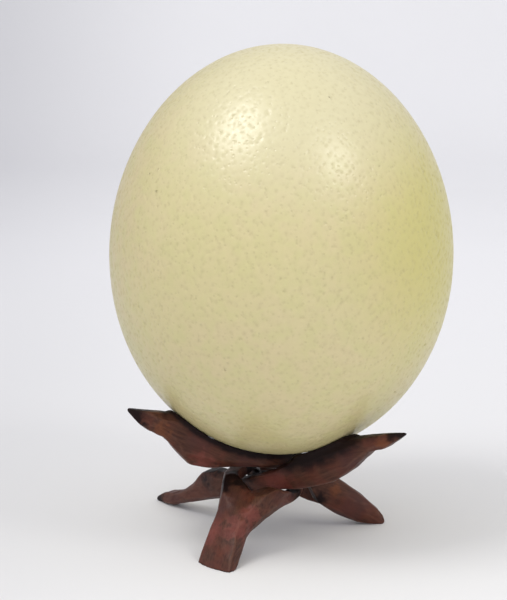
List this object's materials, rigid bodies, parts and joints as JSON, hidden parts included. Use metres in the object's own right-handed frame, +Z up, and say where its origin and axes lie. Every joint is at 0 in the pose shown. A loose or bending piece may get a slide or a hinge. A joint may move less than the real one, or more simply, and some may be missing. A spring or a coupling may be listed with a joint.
{
  "type": "ostrich egg on carved wooden stand",
  "caption": "Ostrich egg standing upright in the hollowed arms of a low, hand-carved wooden stand of interlinked legs.",
  "frame": {"origin": "centre of the bounding box at floor level, under the middle of the egg", "axes": "+Z up along the egg's long axis, -Y towards the front, +X right"},
  "size_m": [0.1274, 0.1274, 0.184],
  "materials": {
    "eggshell": "satin cream shell with fine pores",
    "leg_wood": "dark reddish brown, hand carved and polished"
  },
  "bodies": {
    "root": {"egg": "eggshell", "leg_front": "leg_wood", "leg_right": "leg_wood", "leg_left": "leg_wood"}
  },
  "joints": []
}
